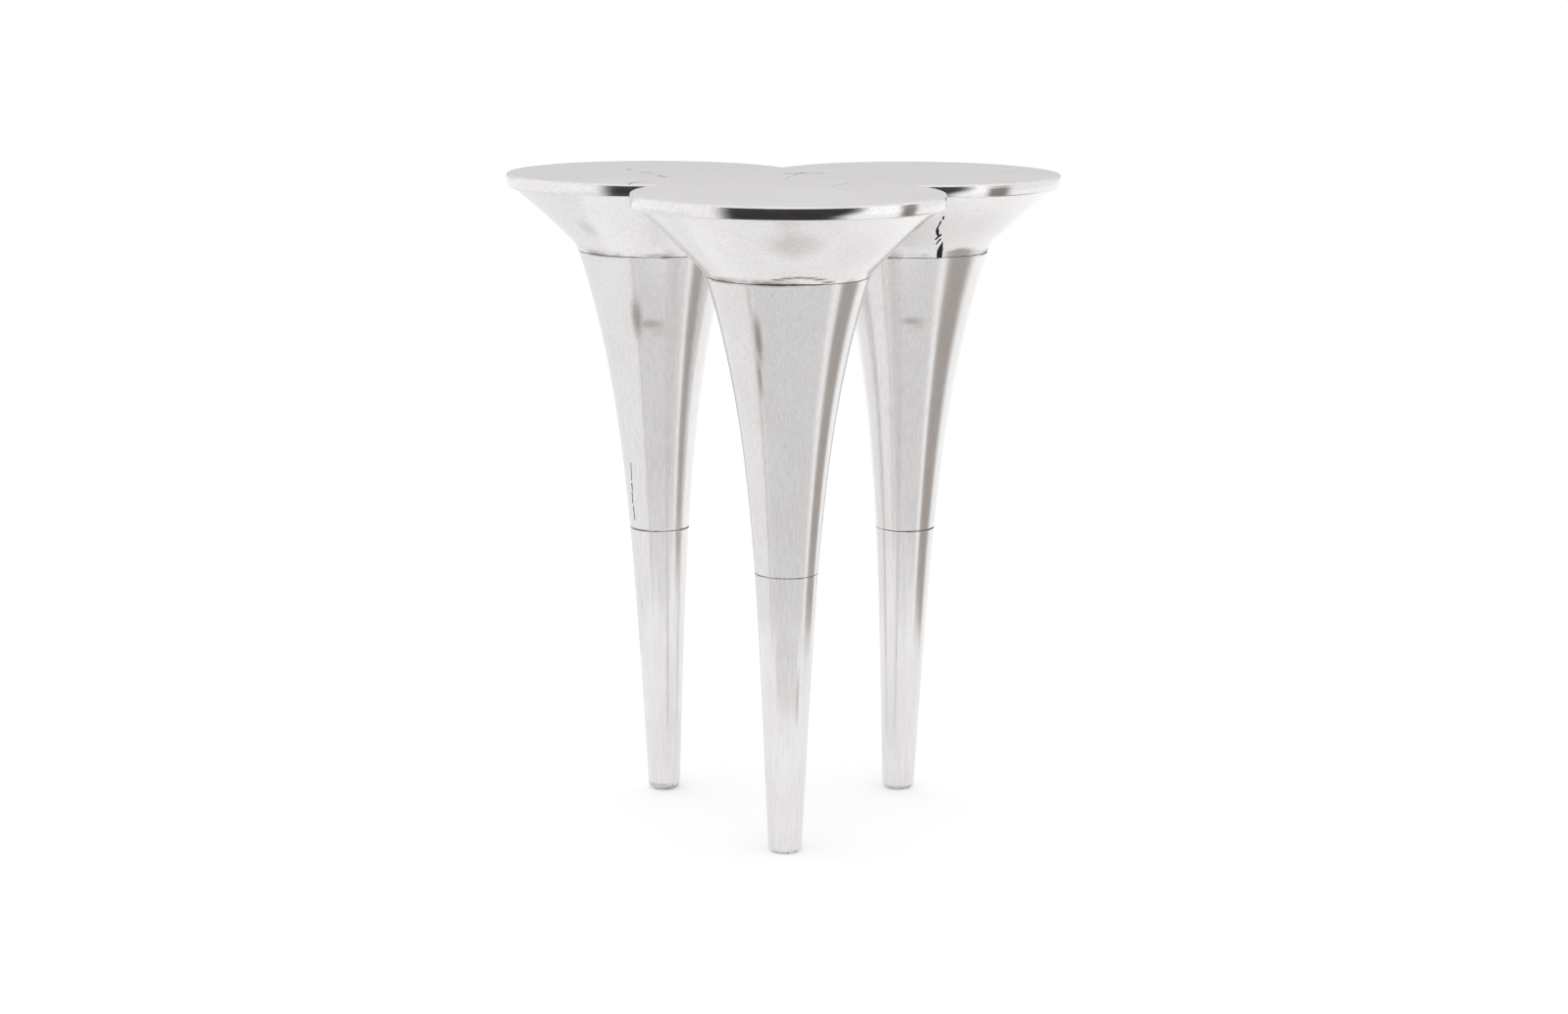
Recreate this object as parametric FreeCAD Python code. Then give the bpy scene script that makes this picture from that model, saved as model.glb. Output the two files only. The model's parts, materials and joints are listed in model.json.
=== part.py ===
import FreeCAD, Part
import math
import os

# Bar-height cluster table: one three-lobed top on three trumpet-shaped turned legs.
# Millimetres, +Z up. The origin is on the floor, at the centre of the table's outline,
# with one leg towards -Y and two towards +Y.

V = FreeCAD.Vector
UP = V(0, 0, 1)

# ---- Driving dimensions: the whole table ------------------------------------------------
table_height = 1067.0       # floor to table top
lobe_radius = 246.0
lobe_overlap = 27.5         # each lobe past the plane where it meets its neighbour
leg_toe_in = 17.0           # each leg axis nearer the middle at the floor than under the top
foot_lift = 1.0             # foot clear of the floor with the glide wound right in

# ---- Top panel --------------------------------------------------------------------------
panel_thickness = 22.0
panel_edge_round = 7.0

# ---- Bell: the flare under each lobe. A slope is change of radius with height ------------
rim_step = 8.0              # bell inside the edge of its lobe
bell_height = 107.0
bell_rim_slope = 1.33
bell_knee_slope = 1.0       # just above the knee
knee_round = 6.0            # height of the rounding, each side of the knee
collar_height = 17.0        # seam to knee
collar_slope = 0.36
bell_land = 14.5            # bell's flat top inside the plane where it meets its neighbour

# ---- Upper and lower leg: each one turned section ---------------------------------------
seam_radius = 128.4         # at the seam between bell and leg
upper_leg_height = 474.0
upper_leg_slope = 0.31
waist_radius = 50.8         # at the seam between the two leg sections
waist_slope = 0.08
lower_leg_slope = 0.065
foot_radius = 27.8
foot_slope = 0.044
foot_edge_round = 5.0
seam_gap = 0.4              # glue line between stacked sections

# ---- Turned plugs that join the sections ------------------------------------------------
bell_socket_wall = 36.4     # at the seam
bell_plug_depth = 18.0      # into each section
bell_plug_ledge = 6.0       # width of the ledge under the plug
waist_socket_wall = 24.8    # at the waist
waist_plug_depth = 38.0
glue_clearance = 0.1        # on radius, plug in its socket

# ---- Tie rod and its fittings -----------------------------------------------------------
rod_radius = 6.0
rod_hole_clearance = 1.0
thread_clearance = 0.05
flange_radius = 60.0
flange_thickness = 5.0
boss_wall = 7.0
boss_height = 20.0
rod_end_gap = 1.0           # rod's tip below the panel
nut_wall = 3.0              # thread to flat
nut_height = 10.0
washer_width = 12.0         # rod to rim
washer_thickness = 2.5
contact_gap = 0.1           # between faces that bear on each other

# ---- Flange screws and bell dowels ------------------------------------------------------
screws_per_flange = 4
screw_circle_radius = 44.0
screw_shank_radius = 2.0
screw_head_radius = 4.0
screw_head_height = 2.4
screw_bite = 14.0           # length in the panel
dowel_radius = 3.0
dowel_length = 30.0
dowel_offset = 30.0         # each side of the line between two leg axes
dowel_drop = 5.5            # dowel axis below the panel

# ---- Foot sleeve and levelling glide ----------------------------------------------------
foot_wall = 4.3             # recess to the foot's rounded edge
recess_clearance = 1.5      # sleeve flange in the foot's recess
sleeve_wall = 4.0
sleeve_length = 70.0
sleeve_flange_thickness = 3.0
rod_engagement = 26.0       # rod inside the sleeve
glide_side_gap = 3.5        # glide in the foot's recess
glide_height = 8.0
glide_edge_round = 1.5
glide_stop_gap = 0.3        # glide to sleeve flange, wound right in
stem_radius = 5.0
stem_running_clearance = 0.05
stem_length = 34.0          # above the glide
stem_head_width = 3.0       # shank to rim
stem_head_height = 3.0
stem_head_clearance = 0.1

# ---- Sizes that follow ------------------------------------------------------------------
leg_spacing = 2 * (lobe_radius - lobe_overlap)
bell_rim_radius = lobe_radius - rim_step
bell_plug_radius = seam_radius - bell_socket_wall
waist_plug_radius = waist_radius - waist_socket_wall
boss_radius = rod_radius + boss_wall
washer_radius = rod_radius + washer_width
nut_width = 2 * (rod_radius + nut_wall)
sleeve_radius = rod_radius + sleeve_wall
recess_radius = foot_radius - foot_edge_round - foot_wall
sleeve_flange_radius = recess_radius - recess_clearance
glide_radius = recess_radius - glide_side_gap
stem_head_radius = stem_radius + stem_head_width

# ---- Heights that follow ----------------------------------------------------------------
panel_base = table_height - panel_thickness
bell_base = panel_base - bell_height
upper_leg_top = bell_base - seam_gap
upper_leg_base = bell_base - upper_leg_height
lower_leg_top = upper_leg_base - seam_gap
foot_base = foot_lift
recess_top = glide_height + glide_stop_gap + sleeve_flange_thickness

row_offset = leg_spacing * math.sqrt(3) / 4
legs = {
    "front": V(0, -row_offset, 0),
    "left": V(-leg_spacing / 2, row_offset, 0),
    "right": V(leg_spacing / 2, row_offset, 0),
}
middle_of_legs = (legs["front"] + legs["left"] + legs["right"]) * (1 / 3)


# ---- Construction helpers ---------------------------------------------------------------
def cylinder(radius, bottom, top):
    return Part.makeCylinder(radius, top - bottom, V(0, 0, bottom), UP)


def cone(bottom_radius, top_radius, bottom, top):
    return Part.makeCone(bottom_radius, top_radius, top - bottom, V(0, 0, bottom), UP)


def line(start, end):
    return Part.makeLine(V(start[0], 0, start[1]), V(end[0], 0, end[1]))


def curve(*poles):
    """Bezier curve in the radius-height plane."""
    bezier = Part.BezierCurve()
    bezier.setPoles([V(radius, 0, height) for radius, height in poles])
    return bezier.toShape()


def horn(top_radius, top, top_slope, base_radius, base, base_slope):
    """Outline that runs smoothly between two radii with the given slopes at its ends."""
    third = (top - base) / 3
    return curve(
        (top_radius, top),
        (top_radius - top_slope * third, top - third),
        (base_radius + base_slope * third, base + third),
        (base_radius, base),
    )


def turned(edges):
    """Solid of revolution of a closed outline in the radius-height plane."""
    wire = Part.Wire(Part.__sortEdges__(edges))
    return Part.Face(wire).revolve(V(0, 0, 0), UP, 360)


def lean_of(name):
    """Sideways move of a leg's axis for each millimetre down from the panel."""
    inward = middle_of_legs - legs[name]
    inward.normalize()
    return inward * (leg_toe_in / panel_base)


def at_leg(shape, name):
    """Place a piece on its leg, leaning with the leg but with its level faces still level."""
    lean = lean_of(name)
    slant = FreeCAD.Matrix()
    slant.A13 = -lean.x
    slant.A14 = lean.x * panel_base + legs[name].x
    slant.A23 = -lean.y
    slant.A24 = lean.y * panel_base + legs[name].y
    return shape.transformGeometry(slant)


def upright_at_leg(shape, name, level):
    """Place a piece upright, centred where its leg's axis passes the given level."""
    upright = shape.copy()
    upright.translate(legs[name] + lean_of(name) * (panel_base - level))
    return upright


def half_space_towards(name, other, reach):
    """Block that covers everything past the plane halfway from one leg to another."""
    direction = legs[other] - legs[name]
    direction.normalize()
    block = Part.makeBox(reach, 2 * reach, 2 * reach, V(0, -reach, -reach))
    block.rotate(V(0, 0, 0), UP, math.degrees(math.atan2(direction.y, direction.x)))
    block.translate(legs[name] + direction * (leg_spacing / 2) + V(0, 0, panel_base))
    return block


def save(name, shape):
    shape.exportStep(f"parts/{name}.step")


# ---- Top panel --------------------------------------------------------------------------
def screw_places():
    """Screw axes round one flange, from the leg axis."""
    for index in range(screws_per_flange):
        angle = math.radians(45 + 360 * index / screws_per_flange)
        yield V(screw_circle_radius * math.cos(angle), screw_circle_radius * math.sin(angle), 0)


def lobe():
    disc = cylinder(lobe_radius, panel_base, table_height)
    return disc.makeFillet(panel_edge_round, [edge for edge in disc.Edges if len(edge.Vertexes) == 1])


def top_panel():
    corners = [legs["front"], legs["right"], legs["left"]]
    outline = Part.makePolygon([corner + V(0, 0, panel_base) for corner in corners + corners[:1]])
    panel = Part.Face(outline).extrude(V(0, 0, panel_thickness))
    for centre in legs.values():
        disc = lobe()
        disc.translate(centre)
        panel = panel.fuse(disc)
    panel = panel.removeSplitter()
    hole_radius = screw_shank_radius + thread_clearance
    hole = cylinder(hole_radius, panel_base, panel_base + screw_bite + contact_gap)
    for name in legs:
        for place in screw_places():
            drilled = hole.copy()
            drilled.translate(place)
            panel = panel.cut(at_leg(drilled, name))
    return panel


# ---- Turned sections --------------------------------------------------------------------
def bell():
    knee_level = bell_base + collar_height
    knee_radius = seam_radius + collar_slope * collar_height
    round_top = (knee_radius + bell_knee_slope * knee_round, knee_level + knee_round)
    round_base = (knee_radius - collar_slope * knee_round, knee_level - knee_round)
    socket_top = bell_base + bell_plug_depth + contact_gap
    socket_radius = bell_plug_radius + glue_clearance
    mouth_radius = leg_spacing / 2 - bell_land
    return turned([
        horn(bell_rim_radius, panel_base, bell_rim_slope, *round_top, bell_knee_slope),
        curve(round_top, (knee_radius, knee_level), round_base),
        line(round_base, (seam_radius, bell_base)),
        line((seam_radius, bell_base), (socket_radius, bell_base)),
        line((socket_radius, bell_base), (socket_radius, socket_top)),
        line((socket_radius, socket_top), (mouth_radius, panel_base)),
        line((mouth_radius, panel_base), (bell_rim_radius, panel_base)),
    ])


def dowel_axes(name, other):
    """Middle points and direction of the dowels between two neighbouring bells."""
    direction = legs[other] - legs[name]
    direction.normalize()
    across = V(-direction.y, direction.x, 0)
    middle = (legs[name] + legs[other]) * 0.5 + V(0, 0, panel_base - dowel_drop)
    for side in (-1, 1):
        yield middle + across * (side * dowel_offset), direction


def dowel_rod(radius, length, middle, direction):
    return Part.makeCylinder(radius, length, middle - direction * (length / 2), direction)


def trimmed_bell(name):
    shape = at_leg(bell(), name)
    for other in legs:
        if other == name:
            continue
        shape = shape.cut(half_space_towards(name, other, table_height))
        for middle, direction in dowel_axes(name, other):
            length = dowel_length + 2 * contact_gap
            shape = shape.cut(dowel_rod(dowel_radius + glue_clearance, length, middle, direction))
    return shape


def upper_leg():
    socket_radius = bell_plug_radius + glue_clearance
    socket_base = upper_leg_top - bell_plug_depth - contact_gap
    plug_radius = waist_plug_radius + glue_clearance
    plug_top = upper_leg_base + waist_plug_depth + contact_gap
    ledge_radius = bell_plug_radius - bell_plug_ledge
    return turned([
        horn(seam_radius, upper_leg_top, upper_leg_slope, waist_radius, upper_leg_base, waist_slope),
        line((waist_radius, upper_leg_base), (plug_radius, upper_leg_base)),
        line((plug_radius, upper_leg_base), (plug_radius, plug_top)),
        horn(ledge_radius, socket_base, upper_leg_slope, plug_radius, plug_top, waist_slope),
        line((ledge_radius, socket_base), (socket_radius, socket_base)),
        line((socket_radius, socket_base), (socket_radius, upper_leg_top)),
        line((socket_radius, upper_leg_top), (seam_radius, upper_leg_top)),
    ])


def lower_leg():
    plug_radius = waist_plug_radius + glue_clearance
    plug_base = lower_leg_top - waist_plug_depth - contact_gap
    rod_hole = rod_radius + rod_hole_clearance
    sleeve_hole = sleeve_radius + glue_clearance
    sleeve_top = recess_top + sleeve_length - sleeve_flange_thickness + contact_gap
    edge = foot_edge_round
    return turned([
        horn(waist_radius, lower_leg_top, lower_leg_slope, foot_radius, foot_base + edge, foot_slope),
        curve((foot_radius, foot_base + edge), (foot_radius, foot_base), (foot_radius - edge, foot_base)),
        line((foot_radius - edge, foot_base), (recess_radius, foot_base)),
        line((recess_radius, foot_base), (recess_radius, recess_top)),
        line((recess_radius, recess_top), (sleeve_hole, recess_top)),
        line((sleeve_hole, recess_top), (sleeve_hole, sleeve_top)),
        line((sleeve_hole, sleeve_top), (rod_hole, sleeve_top)),
        line((rod_hole, sleeve_top), (rod_hole, plug_base)),
        line((rod_hole, plug_base), (plug_radius, plug_base)),
        line((plug_radius, plug_base), (plug_radius, lower_leg_top)),
        line((plug_radius, lower_leg_top), (waist_radius, lower_leg_top)),
    ])


# ---- Plugs ------------------------------------------------------------------------------
def bored(shape, bottom, top):
    return shape.cut(cylinder(rod_radius + rod_hole_clearance, bottom - contact_gap, top + contact_gap))


def bell_plug():
    bottom = upper_leg_top - bell_plug_depth
    top = bell_base + bell_plug_depth
    return bored(cylinder(bell_plug_radius, bottom, top), bottom, top)


def waist_plug():
    bottom = lower_leg_top - waist_plug_depth
    top = upper_leg_base + waist_plug_depth
    return bored(cylinder(waist_plug_radius, bottom, top), bottom, top)


# ---- Tie rod and fittings ---------------------------------------------------------------
def flange():
    plate = cylinder(flange_radius, panel_base - flange_thickness, panel_base)
    boss = cylinder(boss_radius, panel_base - flange_thickness - boss_height, panel_base)
    shape = plate.fuse(boss).removeSplitter()
    thread = cylinder(rod_radius + thread_clearance, panel_base - flange_thickness - boss_height, panel_base)
    shape = shape.cut(thread)
    for place in screw_places():
        hole = cylinder(screw_shank_radius + thread_clearance, panel_base - flange_thickness, panel_base)
        seat_top = panel_base - flange_thickness + screw_head_height
        seat = cone(
            screw_head_radius + thread_clearance,
            screw_shank_radius + thread_clearance,
            panel_base - flange_thickness,
            seat_top,
        )
        hole = hole.fuse(seat)
        hole.translate(place)
        shape = shape.cut(hole)
    return shape


def flange_screw():
    head_base = panel_base - flange_thickness
    head = cone(screw_head_radius, screw_shank_radius, head_base, head_base + screw_head_height)
    shank = cylinder(screw_shank_radius, head_base + screw_head_height, panel_base + screw_bite)
    return head.fuse(shank).removeSplitter()


def tie_rod():
    bottom = recess_top + sleeve_length - sleeve_flange_thickness - rod_engagement
    return cylinder(rod_radius, bottom, panel_base - rod_end_gap)


def washer():
    top = bell_base - bell_plug_depth - seam_gap - contact_gap
    ring = cylinder(washer_radius, top - washer_thickness, top)
    return ring.cut(cylinder(rod_radius + rod_hole_clearance, top - washer_thickness, top))


def nut():
    top = bell_base - bell_plug_depth - seam_gap - washer_thickness - 2 * contact_gap
    corner_radius = nut_width / math.sqrt(3)
    corners = []
    for index in range(7):
        angle = math.radians(60 * index)
        corners.append(V(corner_radius * math.cos(angle), corner_radius * math.sin(angle), top - nut_height))
    body = Part.Face(Part.makePolygon(corners)).extrude(V(0, 0, nut_height))
    return body.cut(cylinder(rod_radius + thread_clearance, top - nut_height, top))


def foot_sleeve():
    flange_base = recess_top - sleeve_flange_thickness
    top = flange_base + sleeve_length
    collar = cylinder(sleeve_flange_radius, flange_base, recess_top - contact_gap)
    shape = collar.fuse(cylinder(sleeve_radius, flange_base, top)).removeSplitter()
    rod_bore_base = top - rod_engagement - rod_end_gap
    shape = shape.cut(cylinder(rod_radius + thread_clearance, rod_bore_base, top))
    return shape.cut(cylinder(stem_radius + stem_running_clearance, flange_base, rod_bore_base))


# ---- Levelling glide --------------------------------------------------------------------
def glide_stem():
    head_base = (glide_height - stem_head_height) / 2
    head = cylinder(stem_head_radius, head_base, head_base + stem_head_height)
    shank = cylinder(stem_radius, head_base, glide_height + stem_length)
    return head.fuse(shank).removeSplitter()


def glide_pad():
    pad = cylinder(glide_radius, 0, glide_height)
    pad = pad.makeFillet(glide_edge_round, [edge for edge in pad.Edges if len(edge.Vertexes) == 1])
    head_base = (glide_height - stem_head_height) / 2
    pocket = cylinder(
        stem_head_radius + stem_head_clearance,
        head_base - stem_head_clearance,
        head_base + stem_head_height + stem_head_clearance,
    )
    pad = pad.cut(pocket)
    return pad.cut(cylinder(stem_radius + stem_head_clearance, head_base, glide_height))


# ---- Build every node -------------------------------------------------------------------
def main():
    os.makedirs("parts", exist_ok=True)
    save("top_panel", top_panel())
    one_per_leg = {
        "upper_leg": upper_leg(),
        "lower_leg": lower_leg(),
        "bell_plug": bell_plug(),
        "waist_plug": waist_plug(),
        "top_flange": flange(),
        "tie_rod": tie_rod(),
        "glide_stem": glide_stem(),
    }
    for name in legs:
        save(f"bell_{name}", trimmed_bell(name))
        for piece, shape in one_per_leg.items():
            save(f"{piece}_{name}", at_leg(shape, name))
        save(f"glide_pad_{name}", upright_at_leg(glide_pad(), name, glide_height / 2))
    for node, shape in (("rod_nuts", nut()), ("rod_washers", washer()), ("foot_sleeves", foot_sleeve())):
        save(node, Part.makeCompound([at_leg(shape, name) for name in legs]))
    screws = []
    for name in legs:
        for place in screw_places():
            screw = flange_screw()
            screw.translate(place)
            screws.append(at_leg(screw, name))
    save("flange_screws", Part.makeCompound(screws))
    dowels = []
    for name, other in (("front", "left"), ("left", "right"), ("right", "front")):
        for middle, direction in dowel_axes(name, other):
            dowels.append(dowel_rod(dowel_radius, dowel_length, middle, direction))
    save("bell_dowels", Part.makeCompound(dowels))


main()
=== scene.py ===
import json
import math

import bmesh
import bpy
from bpy.props import FloatProperty, FloatVectorProperty, IntProperty, PointerProperty
from mathutils import Matrix, Vector, noise
from mathutils.geometry import interpolate_bezier


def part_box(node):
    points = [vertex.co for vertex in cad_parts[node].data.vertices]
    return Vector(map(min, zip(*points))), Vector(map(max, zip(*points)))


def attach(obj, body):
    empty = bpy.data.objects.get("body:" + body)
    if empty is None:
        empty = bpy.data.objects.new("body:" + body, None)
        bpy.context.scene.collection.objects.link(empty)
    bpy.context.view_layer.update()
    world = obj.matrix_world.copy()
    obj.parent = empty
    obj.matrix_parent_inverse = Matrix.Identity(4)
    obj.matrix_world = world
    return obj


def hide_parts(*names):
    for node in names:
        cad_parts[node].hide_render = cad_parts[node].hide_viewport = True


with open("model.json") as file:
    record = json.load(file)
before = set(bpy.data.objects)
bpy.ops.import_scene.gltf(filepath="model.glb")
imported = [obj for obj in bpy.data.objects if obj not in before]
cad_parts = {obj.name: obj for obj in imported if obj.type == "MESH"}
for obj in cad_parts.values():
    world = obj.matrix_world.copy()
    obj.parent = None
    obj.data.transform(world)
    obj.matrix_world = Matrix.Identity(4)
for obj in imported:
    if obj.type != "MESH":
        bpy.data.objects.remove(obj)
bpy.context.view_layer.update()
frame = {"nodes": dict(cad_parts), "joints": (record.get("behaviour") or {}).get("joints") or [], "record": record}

bl_info = {
    "name": "Cluster Bar Table",
    "version": (1, 0, 0),
    "blender": (4, 5, 0),
    "location": "View3D > Sidebar > Cluster Table",
    "description": "Bar-height table with three joined lobes on trumpet legs, in burnished silver leaf",
    "category": "Add Mesh",
}

LEGS = ("front", "left", "right")
TAU = 2 * math.pi


# ---- Places read from the frame ------------------------------------------------------------
def low(node):
    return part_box(node)[0]


def high(node):
    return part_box(node)[1]


def half_width(node):
    return (high(node).x - low(node).x) / 2


TABLE_TOP = high("top_panel").z
PANEL_BASE = low("top_panel").z
BELL_BASE = low("bell_front").z
UPPER_TOP = high("upper_leg_front").z
UPPER_BASE = low("upper_leg_front").z
LOWER_TOP = high("lower_leg_front").z
FOOT_BASE = low("lower_leg_front").z
SEAM_RADIUS = half_width("upper_leg_front")
WAIST_RADIUS = half_width("lower_leg_front")
PLUG_RADIUS = half_width("bell_plug_front")
WAIST_PLUG_RADIUS = half_width("waist_plug_front")
PLUG_TOP = high("bell_plug_front").z
PLUG_BASE = low("bell_plug_front").z
WAIST_PLUG_TOP = high("waist_plug_front").z
WAIST_PLUG_BASE = low("waist_plug_front").z
GLIDE_RADIUS = half_width("glide_pad_front")
SLEEVE_TOP = high("foot_sleeves").z

# Sizes of the turned sockets and bores inside the leafed pieces.
FIT_GAP = 0.0001             # round and above anything glued into its socket
PLUG_LEDGE = 0.006           # the upper leg's shoulder under the bell plug
GLIDE_SIDE_GAP = 0.0035      # glide in the foot's recess
SLEEVE_LENGTH = 0.070
SLEEVE_FLANGE = 0.003
SLEEVE_HOLE = 0.0101
ROD_HOLE = 0.007

# Limits of the shading and of the rim's own finish.
SHARP_ANGLE = math.radians(32)
RIM_START = 0.0002           # the rim's smoother leaf starts this far below the top face
RIM_FADE = 0.0016            # and is complete this much further down


def leg_line(name):
    """Where a leg's axis meets the floor, and its sideways move for each metre up."""
    foot = next(m["pos_m"] for m in frame["record"]["mounts"] if m["name"] == f"floor_{name}")
    axis = next(j["axis"] for j in frame["joints"] if j["child"] == f"glide_{name}")
    return Vector(foot), Vector((axis[0] / axis[2], axis[1] / axis[2], 0))


def axis_point(name, height):
    foot, rise = leg_line(name)
    return foot + rise * height + Vector((0, 0, height))


def lobe_centre(name):
    point = axis_point(name, PANEL_BASE)
    return Vector((point.x, point.y, 0))


LOBE_RADIUS = high("top_panel").x - lobe_centre("right").x
LEG_SPACING = (lobe_centre("right") - lobe_centre("left")).length


# ---- Sizes and colours that can be set -----------------------------------------------------
class TableShape(bpy.types.PropertyGroup):
    edge_round: FloatProperty(
        name="Top edge round", description="Radius along the rim of the top", default=0.0042, unit="LENGTH"
    )
    rim_crown: FloatProperty(
        name="Rim crown", description="How far the rim swells at half its height", default=0.0006,
        unit="LENGTH"
    )
    rim_step: FloatProperty(
        name="Rim step", description="How far the bell starts inside the lobe's edge", default=0.008,
        unit="LENGTH"
    )
    rim_slope: FloatProperty(
        name="Rim slope", description="Change of radius with height at the bell's rim", default=1.33
    )
    knee_slope: FloatProperty(
        name="Knee slope", description="Change of radius with height just above the knee", default=1.0
    )
    knee_round: FloatProperty(
        name="Knee round", description="Height of the knee's rounding, each side", default=0.006,
        unit="LENGTH"
    )
    collar_height: FloatProperty(
        name="Collar height", description="Seam to knee", default=0.017, unit="LENGTH"
    )
    collar_slope: FloatProperty(
        name="Collar slope", description="Change of radius with height below the knee", default=0.36
    )
    bell_land: FloatProperty(
        name="Bell land", description="Bell's flat top inside its meeting plane", default=0.0145,
        unit="LENGTH"
    )
    upper_slope: FloatProperty(
        name="Upper leg slope", description="Change of radius with height under the bell", default=0.31
    )
    waist_slope: FloatProperty(
        name="Waist slope", description="Change of radius with height just above the lower seam",
        default=0.08
    )
    lower_slope: FloatProperty(
        name="Lower leg slope", description="Change of radius with height under the lower seam",
        default=0.065
    )
    foot_radius: FloatProperty(
        name="Foot radius", description="Radius of the foot above its rounded edge", default=0.0278,
        unit="LENGTH"
    )
    foot_slope: FloatProperty(
        name="Foot slope", description="Change of radius with height at the foot", default=0.044
    )
    foot_round: FloatProperty(
        name="Foot round", description="Rounding of the foot's edge", default=0.0075, unit="LENGTH"
    )
    turned_steps: IntProperty(
        name="Steps round", description="Faces round each turned piece", default=192, min=24
    )
    hand_finish: FloatProperty(
        name="Hand finish", description="Greatest hollow left by hand sanding", default=0.0007,
        unit="LENGTH"
    )


class TableFinish(bpy.types.PropertyGroup):
    leaf: FloatVectorProperty(
        name="Leaf", description="Burnished silver leaf", subtype="COLOR", default=(0.80, 0.79, 0.788)
    )
    leaf_dull: FloatVectorProperty(
        name="Dull leaf", description="Leaf where it is thin or rubbed", subtype="COLOR",
        default=(0.735, 0.72, 0.714)
    )
    # Also the colour of the painted shade on the front and right bells.
    tarnish: FloatVectorProperty(
        name="Tarnish", description="Brown-grey tarnish in hollows and at seams", subtype="COLOR",
        default=(0.26, 0.235, 0.215)
    )
    gap_shade: FloatVectorProperty(
        name="Open gap", description="Inside of seams and cracks", subtype="COLOR",
        default=(0.012, 0.011, 0.010)
    )
    wood: FloatVectorProperty(
        name="Bare wood", description="Turned hardwood inside", subtype="COLOR", default=(0.43, 0.27, 0.14)
    )
    steel: FloatVectorProperty(
        name="Plate steel", description="Flanges and sleeves", subtype="COLOR", default=(0.42, 0.42, 0.43)
    )
    zinc: FloatVectorProperty(
        name="Zinc plate", description="Rods, nuts, washers and screws", subtype="COLOR",
        default=(0.60, 0.60, 0.57)
    )
    nylon: FloatVectorProperty(
        name="Nylon", description="Glide pads", subtype="COLOR", default=(0.03, 0.03, 0.03)
    )
    leaf_roughness: FloatProperty(
        name="Leaf roughness", description="Roughness of well burnished leaf", default=0.13, min=0, max=1
    )


# ---- Node building -------------------------------------------------------------------------
class Graph:
    """Short calls that add and link shader nodes in one tree."""

    def __init__(self, tree):
        self.tree = tree

    def add(self, kind, inputs=None, **settings):
        node = self.tree.nodes.new(kind)
        for key, value in settings.items():
            setattr(node, key, value)
        for key, value in (inputs or {}).items():
            self.feed(node.inputs[key], value)
        return node

    def feed(self, socket, value):
        """Link a socket to another node's output, or set it to a plain value."""
        if isinstance(value, bpy.types.NodeSocket):
            self.tree.links.new(value, socket)
        else:
            socket.default_value = value

    def math(self, operation, *values, clamp=False):
        node = self.add("ShaderNodeMath", dict(enumerate(values)), operation=operation, use_clamp=clamp)
        return node.outputs[0]

    def vector(self, operation, *values):
        node = self.add("ShaderNodeVectorMath", dict(enumerate(values)), operation=operation)
        return node.outputs["Value" if operation in ("LENGTH", "DOT_PRODUCT") else "Vector"]

    def scaled(self, vector, factor):
        node = self.add("ShaderNodeVectorMath", {0: vector, "Scale": factor}, operation="SCALE")
        return node.outputs["Vector"]

    def ramp(self, value, start, end, smooth=True):
        """0 at start, 1 at end. The two may be in either order."""
        if start > end:
            return self.math("SUBTRACT", 1.0, self.ramp(value, end, start, smooth))
        kind = "SMOOTHSTEP" if smooth else "LINEAR"
        node = self.add("ShaderNodeMapRange", {0: value, 1: start, 2: end}, interpolation_type=kind)
        return node.outputs[0]

    def noise(self, vector, scale, detail=2.0, roughness=0.5):
        node = self.add(
            "ShaderNodeTexNoise",
            {"Vector": vector, "Scale": scale, "Detail": detail, "Roughness": roughness}
        )
        return node.outputs["Fac"]

    def stretched(self, vector, scale):
        return self.add("ShaderNodeMapping", {"Vector": vector, "Scale": scale}).outputs["Vector"]

    def split(self, vector):
        return self.add("ShaderNodeSeparateXYZ", {0: vector}).outputs

    def mix(self, factor, first, second):
        """Mix of two colours. The node's colour sockets are its inputs 6 and 7."""
        node = self.add("ShaderNodeMix", {0: factor, 6: first, 7: second}, data_type="RGBA")
        return node.outputs[2]


def unrolled(graph, place, leg):
    """Place on a turned skin as distance round from the front at the seam's radius, and height."""
    foot, rise = leg_line(leg)
    x, y, height = graph.split(place)
    across = graph.math("SUBTRACT", x, graph.math("MULTIPLY_ADD", height, rise.x, foot.x))
    behind = graph.math("SUBTRACT", graph.math("MULTIPLY_ADD", height, rise.y, foot.y), y)
    round_from_front = graph.math("MULTIPLY", graph.math("ARCTAN2", across, behind), SEAM_RADIUS)
    return graph.add("ShaderNodeCombineXYZ", {0: round_from_front, 1: 0.0, 2: height}).outputs[0]


def spot(degrees, height):
    """A place on the unrolled skin."""
    return (math.radians(degrees) * SEAM_RADIUS, 0.0, height)


def new_group(name, inputs, outputs):
    """Shader node group whose sockets are given as name and default."""
    tree = bpy.data.node_groups.new(name, "ShaderNodeTree")
    for label, default in inputs:
        kind = "NodeSocketVector" if default is None else "NodeSocketFloat"
        socket = tree.interface.new_socket(label, in_out="INPUT", socket_type=kind)
        if default is not None:
            socket.default_value = default
    for label in outputs:
        tree.interface.new_socket(label, in_out="OUTPUT", socket_type="NodeSocketFloat")
    graph = Graph(tree)
    return graph, graph.add("NodeGroupInput").outputs, graph.add("NodeGroupOutput").inputs


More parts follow.
